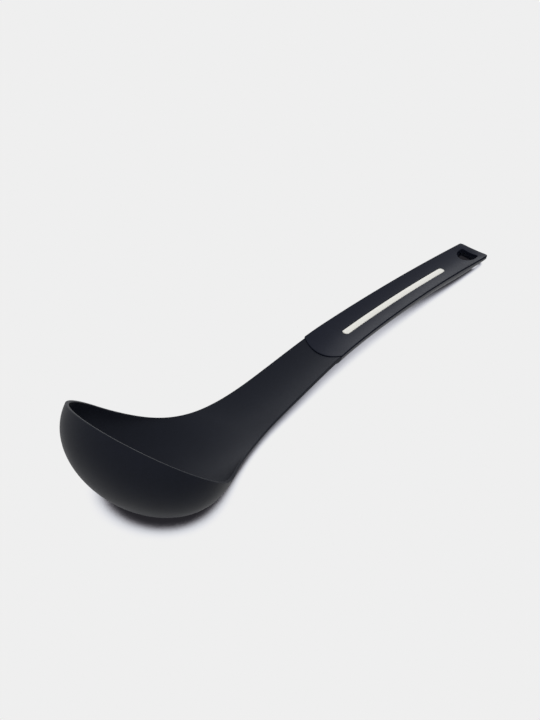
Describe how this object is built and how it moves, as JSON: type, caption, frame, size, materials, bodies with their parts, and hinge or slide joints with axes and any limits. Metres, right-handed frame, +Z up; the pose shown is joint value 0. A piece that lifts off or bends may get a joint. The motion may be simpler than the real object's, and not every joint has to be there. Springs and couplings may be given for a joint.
{
  "type": "ladle",
  "caption": "Soup ladle with a deep tilted bowl, a hollowed neck and a two-shell grip that has a pale inlaid stripe and a D-shaped hanging hole.",
  "frame": {"origin": "on the surface that the ladle lies on, under the middle of its length and width", "axes": "+X along the ladle from the bowl to the end of the grip, +Z up from the surface, +Y across, to the left when looking along +X"},
  "size_m": [0.3121, 0.0884, 0.0601],
  "materials": {
    "ladle_plastic": "black nylon with a fine matte moulded grain",
    "grip_plastic": "black plastic with a soft satin sheen",
    "stripe_plastic": "smooth cream plastic"
  },
  "bodies": {
    "root": {"ladle_head": "ladle_plastic", "grip_cover": "grip_plastic", "grip_base": "grip_plastic", "stripe_inlay": "stripe_plastic"}
  },
  "joints": []
}
